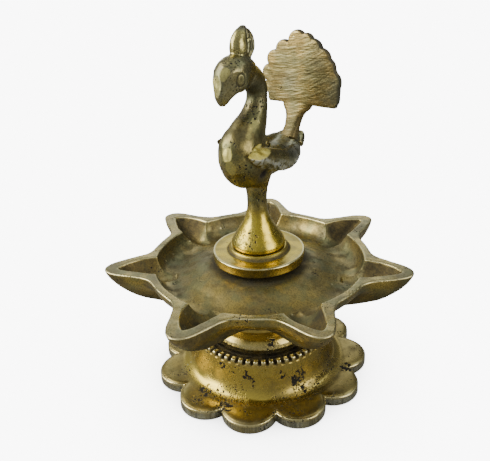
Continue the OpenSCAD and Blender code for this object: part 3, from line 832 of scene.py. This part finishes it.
# ---------------------------------------------------------------- materials
class Graph:
    """A material's node tree, with short calls for the nodes used here."""

    def __init__(self, name):
        self.material = bpy.data.materials.new(name)
        self.material.use_nodes = True
        self.tree = self.material.node_tree
        self.shader = next(n for n in self.tree.nodes if n.type == "BSDF_PRINCIPLED")
        self.place = self.node("ShaderNodeTexCoord").outputs["Object"]

    def node(self, kind, **settings):
        made = self.tree.nodes.new(kind)
        for key, value in settings.items():
            setattr(made, key, value)
        return made

    def put(self, value, socket):
        if isinstance(value, bpy.types.NodeSocket):
            self.tree.links.new(value, socket)
        else:
            socket.default_value = value

    def math(self, operation, a, b):
        made = self.node("ShaderNodeMath", operation=operation)
        self.put(a, made.inputs[0])
        self.put(b, made.inputs[1])
        return made.outputs[0]

    def add(self, a, b):
        return self.math("ADD", a, b)

    def times(self, a, b):
        return self.math("MULTIPLY", a, b)

    def most(self, a, b):
        return self.math("MAXIMUM", a, b)

    def ramp(self, value, low, high, out_low=0.0, out_high=1.0):
        made = self.node("ShaderNodeMapRange", interpolation_type="SMOOTHSTEP")
        for socket, number in zip(made.inputs, (value, low, high, out_low, out_high)):
            self.put(number, socket)
        return made.outputs[0]

    def stretch(self, x, y, z, turn=(0, 0, 0)):
        made = self.node("ShaderNodeMapping")
        self.put(self.place, made.inputs["Vector"])
        made.inputs["Rotation"].default_value = turn
        made.inputs["Scale"].default_value = (x, y, z)
        return made.outputs[0]

    def noise(self, scale, detail, rough=0.55, place=None):
        made = self.node("ShaderNodeTexNoise")
        self.put(place or self.place, made.inputs["Vector"])
        made.inputs["Scale"].default_value = scale
        made.inputs["Detail"].default_value = detail
        made.inputs["Roughness"].default_value = rough
        return made.outputs["Fac"]

    def cells(self, scale):
        made = self.node("ShaderNodeTexVoronoi")
        self.put(self.place, made.inputs["Vector"])
        made.inputs["Scale"].default_value = scale
        return made.outputs["Distance"]

    def mask(self, name):
        return self.node("ShaderNodeAttribute", attribute_name=name).outputs["Fac"]

    def mix(self, amount, a, b):
        made = self.node("ShaderNodeMix", data_type="RGBA")
        self.put(amount, made.inputs["Factor"])
        self.put(a, made.inputs["A"])
        self.put(b, made.inputs["B"])
        return made.outputs["Result"]


GOLD = (0.70, 0.52, 0.13, 1)
BRIGHT = (0.92, 0.82, 0.42, 1)
OLIVE = (0.27, 0.215, 0.09, 1)
GREY = (0.29, 0.31, 0.245, 1)
BLACK = (0.018, 0.014, 0.009, 1)
TAN = (0.50, 0.36, 0.12, 1)
KHAKI = (0.27, 0.25, 0.14, 1)
GREEN = (0.22, 0.26, 0.13, 1)
CHALK = (0.50, 0.52, 0.47, 1)
YELLOW = (0.88, 0.66, 0.08, 1)
CREVICE_REACH = 0.005       # metres, as textures are
RELIEF = 0.0003


def brass(name, cover, pits, gold=GOLD, patina=OLIVE, bright=BRIGHT, film=KHAKI, speckle=0.3,
          tarnish=0.12, rough=0.24, grain="cast"):
    """Hand-finished brass. cover is how much of it has gone dull, pits how much of it is pitted,
    speckle how strongly the fine grain shows, tarnish how green its patches are.
    grain is cast, turned or filed."""
    g = Graph(name)
    broad = g.noise(60, 3)
    cloud = g.noise(230, 6, 0.62)
    fine = g.noise(1700, 4, 0.6)
    clouds = g.add(g.times(broad, 0.7), g.times(cloud, 0.3))
    dull = g.ramp(clouds, 0.62 - 0.3 * cover, 0.84 - 0.3 * cover)
    dull = g.times(dull, g.ramp(g.mask("gold"), 0, 1, 1, 0.15))
    cluster = g.ramp(g.noise(105, 3, 0.6), 0.70 - 0.2 * pits, 0.78 - 0.2 * pits)
    holes = g.most(g.ramp(g.cells(560), 0.28, 0.18), g.ramp(g.noise(900, 3, 0.5), 0.62, 0.68))
    holes = g.most(holes, g.ramp(g.cells(980), 0.32, 0.22))
    holes = g.times(holes, cluster)
    # in the pit clusters the spots run together towards the middle
    blotches = g.ramp(g.add(g.noise(620, 4, 0.6), g.times(g.mask("pits"), 0.14)), 0.585, 0.625)
    holes = g.most(holes, g.times(blotches, g.ramp(g.mask("pits"), 0.05, 0.3)))
    # painted shade: ambient occlusion darkens crevices by how closed in they are, on top of the real
    # dirt masked in each piece
    crevice = g.node("ShaderNodeAmbientOcclusion", samples=4)
    crevice.inputs["Distance"].default_value = CREVICE_REACH
    crevice = g.ramp(crevice.outputs["AO"], 0.62, 0.18)
    edge = g.node("ShaderNodeNewGeometry").outputs["Pointiness"]
    edge = g.ramp(edge, 0.53, 0.60)
    dirt_and_shade = g.times(g.mask("dirt_and_shade"), g.ramp(cloud, 0.3, 0.62, 0.85, 1.0))
    dirt_and_shade = g.most(g.most(dirt_and_shade, holes), g.times(crevice, g.ramp(cloud, 0.35, 0.6, 0.35, 0.9)))
    worn = g.times(g.most(g.mask("worn"), g.times(edge, 0.8)), g.ramp(cloud, 0.3, 0.5, 0.6, 1.0))
    colour = g.mix(g.mask("gold"), gold, YELLOW)
    colour = g.mix(dull, colour, patina)
    colour = g.mix(g.times(g.mask("patina"), g.ramp(broad, 0.3, 0.7, 0.65, 1.0)), colour, film)
    colour = g.mix(g.times(g.mask("grey"), g.ramp(cloud, 0.35, 0.65, 0.6, 0.95)), colour, GREY)
    grains = g.ramp(fine, 0.42, 0.62)
    grain_here = g.times(grains, g.ramp(g.mask("gold"), 0, 1, speckle, speckle * 0.25))
    colour = g.mix(grain_here, colour, g.mix(0.6, patina, BLACK))
    tint = g.ramp(g.noise(150, 3, 0.5), 0.46, 0.62, 0.0, tarnish)
    colour = g.mix(tint, colour, GREEN)
    if grain == "filed":
        aim = g.stretch(0.08, 0.08, 1, (0, 0.30, math.radians(7)))
        strokes = g.add(g.noise(1500, 3, 0.6, aim), g.times(g.noise(3600, 2, 0.6, aim), 0.6))
        colour = g.mix(g.ramp(strokes, 0.78, 0.98, 0.0, 0.45), colour, g.mix(0.3, patina, BLACK))
    colour = g.mix(g.times(worn, g.ramp(grains, 0, 1, 1.0, 0.8)), colour, bright)
    chalk_and_painted_light = g.times(g.mask("chalk_and_painted_light"), g.ramp(cloud, 0.35, 0.55, 0.35, 1.0))
    colour = g.mix(chalk_and_painted_light, colour, CHALK)
    colour = g.mix(dirt_and_shade, colour, BLACK)
    g.put(colour, g.shader.inputs["Base Color"])
    metal = g.times(g.ramp(dirt_and_shade, 0.3, 1.0, 1.0, 0.25), g.ramp(chalk_and_painted_light, 0.0, 1.0, 1.0, 0.35))
    g.put(metal, g.shader.inputs["Metallic"])
    dullness = g.add(g.times(dull, 0.16), g.times(dirt_and_shade, 0.4))
    dullness = g.add(dullness, g.times(g.mask("patina"), 0.12))
    dullness = g.add(dullness, g.times(g.add(cloud, -0.5), 0.25))
    dullness = g.add(dullness, g.times(worn, -0.04))
    g.put(g.add(dullness, rough), g.shader.inputs["Roughness"])
    height = g.add(g.times(cloud, 0.35), g.times(fine, 0.12))
    if grain == "turned":
        lines = g.noise(2600, 2, 0.5, g.stretch(0.02, 0.02, 1))
        height = g.add(height, g.times(lines, 0.1))
    if grain == "filed":
        height = g.add(height, g.times(strokes, -1.1))
    height = g.add(height, g.times(holes, -0.8))
    relief = g.node("ShaderNodeBump")
    relief.inputs["Strength"].default_value = 0.4
    relief.inputs["Distance"].default_value = RELIEF
    g.put(height, relief.inputs["Height"])
    g.put(relief.outputs["Normal"], g.shader.inputs["Normal"])
    return g.material


def finish_piece(piece, body, node, material):
    """Lifts a piece to its real heights, gives it its brass and says what it stands for."""
    p = points_of(piece)
    p[:, 2] = raise_points(p[:, 2])
    set_points(piece, p)
    piece.data.materials.clear()
    piece.data.materials.append(material)
    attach(piece, body)
    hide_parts(node)


finish_piece(make_foot(), "stand", "foot",
             brass("foot_brass", cover=0.36, pits=1.05, speckle=0.2))
finish_piece(make_neck(), "stand", "neck",
             brass("neck_brass", cover=0.2, pits=0.6, grain="turned"))
finish_piece(make_dish(), "dish", "oil_dish",
             brass("dish_brass", cover=0.65, pits=0.55, speckle=0.45, tarnish=0.4, rough=0.27))
finish_piece(make_collar(), "collar", "collar_disc",
             brass("collar_brass", cover=0.4, pits=0.3, grain="turned"))
finish_piece(make_peacock(), "finial", "peacock",
             brass("peacock_brass", cover=0.75, pits=1.1, speckle=0.5, tarnish=0.35, rough=0.26,
                   gold=(0.58, 0.47, 0.15, 1), patina=(0.22, 0.19, 0.085, 1),
                   bright=(0.86, 0.76, 0.24, 1), film=(0.13, 0.105, 0.05, 1)))
finish_piece(make_fan(), "finial", "tail_fan",
             brass("fan_brass", cover=0.5, pits=0.25, speckle=0.4, tarnish=0.3, rough=0.36,
                   gold=TAN, patina=KHAKI, grain="filed"))

# the washer, nut and stud keep their CAD shapes
hidden = brass("fixing_brass", cover=0.8, pits=0.3, rough=0.36)
for node in ("foot_washer", "foot_nut", "finial_stud"):
    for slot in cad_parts[node].material_slots:
        slot.material = hidden


# ---------------------------------------------------------------- floor, world and lights
# sizes and places in metres
FLOOR_R = 6
FLOOR_SHADE_REACH = 0.06
WHITE_OUT = 9.0             # how strongly the floor and the backdrop shine to the camera
WINDOW_WAY = (-0.70, -0.50, 0.50)
LIGHT_AIM = Vector((0, 0, 0.07))


def camera_sees(tree, seen, lit):
    """Shows the camera one shader and lets everything else be lit by the other."""
    path = tree.nodes.new("ShaderNodeLightPath")
    mix = tree.nodes.new("ShaderNodeMixShader")
    tree.links.new(path.outputs["Is Camera Ray"], mix.inputs[0])
    tree.links.new(lit, mix.inputs[1])
    tree.links.new(seen, mix.inputs[2])
    return mix.outputs[0]


def make_floor():
    """A pale sheet, over-exposed to the camera apart from the soft shade close round the lamp."""
    count = 96
    ring = level_ring(np.arange(count) * TAU / count, FLOOR_R, 0)
    floor = new_piece("floor", ring, [tuple(range(count))])
    g = Graph("floor_paint")
    tone = g.noise(6, 3)
    g.put(g.mix(tone, (0.27, 0.27, 0.26, 1), (0.23, 0.23, 0.23, 1)), g.shader.inputs["Base Color"])
    g.shader.inputs["Roughness"].default_value = 0.9
    shade_near = g.node("ShaderNodeAmbientOcclusion", samples=8)
    shade_near.inputs["Distance"].default_value = FLOOR_SHADE_REACH
    glow = g.node("ShaderNodeEmission")
    white = g.ramp(shade_near.outputs["AO"], 0.05, 0.95, 1.6, WHITE_OUT)
    g.put(white, glow.inputs["Strength"])
    end = next(n for n in g.tree.nodes if n.type == "OUTPUT_MATERIAL")
    g.put(camera_sees(g.tree, glow.outputs[0], g.shader.outputs[0]), end.inputs["Surface"])
    floor.data.materials.append(g.material)


def make_world():
    """A dim room that is paler towards the window, behind a white backdrop."""
    world = bpy.data.worlds.new("room")
    bpy.context.scene.world = world
    world.use_nodes = True
    tree = world.node_tree
    room = next(n for n in tree.nodes if n.type == "BACKGROUND")
    coords = tree.nodes.new("ShaderNodeTexCoord")
    dot = tree.nodes.new("ShaderNodeVectorMath")
    dot.operation = "DOT_PRODUCT"
    dot.inputs[1].default_value = WINDOW_WAY
    tree.links.new(coords.outputs["Generated"], dot.inputs[0])
    spread = tree.nodes.new("ShaderNodeMapRange")
    spread.interpolation_type = "SMOOTHSTEP"
    spread.inputs["From Min"].default_value = -0.9
    spread.inputs["From Max"].default_value = 1.0
    spread.inputs["To Min"].default_value = 0.06
    spread.inputs["To Max"].default_value = 0.42
    tree.links.new(dot.outputs["Value"], spread.inputs["Value"])
    tree.links.new(spread.outputs[0], room.inputs["Strength"])
    room.inputs["Color"].default_value = (0.90, 0.95, 1.0, 1)
    backdrop = tree.nodes.new("ShaderNodeBackground")
    backdrop.inputs["Strength"].default_value = WHITE_OUT
    end = next(n for n in tree.nodes if n.type == "OUTPUT_WORLD")
    tree.links.new(camera_sees(tree, backdrop.outputs[0], room.outputs[0]), end.inputs["Surface"])


def make_light(name, place, size, power, colour):
    data = bpy.data.lights.new(name, "AREA")
    data.shape = "RECTANGLE"
    data.size = size[0]
    data.size_y = size[1]
    data.energy = power
    data.color = colour
    turn = (LIGHT_AIM - Vector(place)).to_track_quat("-Z", "Y").to_matrix().to_4x4()
    put_in_scene(name, data).matrix_world = Matrix.Translation(place) @ turn


make_floor()
make_world()
make_light("window", (-0.71, -0.48, 0.66), (0.90, 0.80), 11.5, (1.0, 0.97, 0.89))
make_light("side_window", (0.82, -0.05, 0.36), (0.55, 0.55), 3.2, (1.0, 0.97, 0.9))
make_light("back_window", (-0.55, 0.85, 0.50), (0.9, 0.5), 1.3, (0.93, 0.97, 1.0))
make_light("low_window", (-0.62, -0.72, 0.20), (0.40, 0.36), 1.8, (1.0, 0.98, 0.90))
make_light("skylight", (0.62, 0.50, 0.85), (0.45, 0.45), 0.7, (0.88, 0.96, 1.0))
make_light("ceiling", (0.1, 0.2, 1.2), (1.1, 1.1), 1.2, (0.94, 0.97, 1.0))
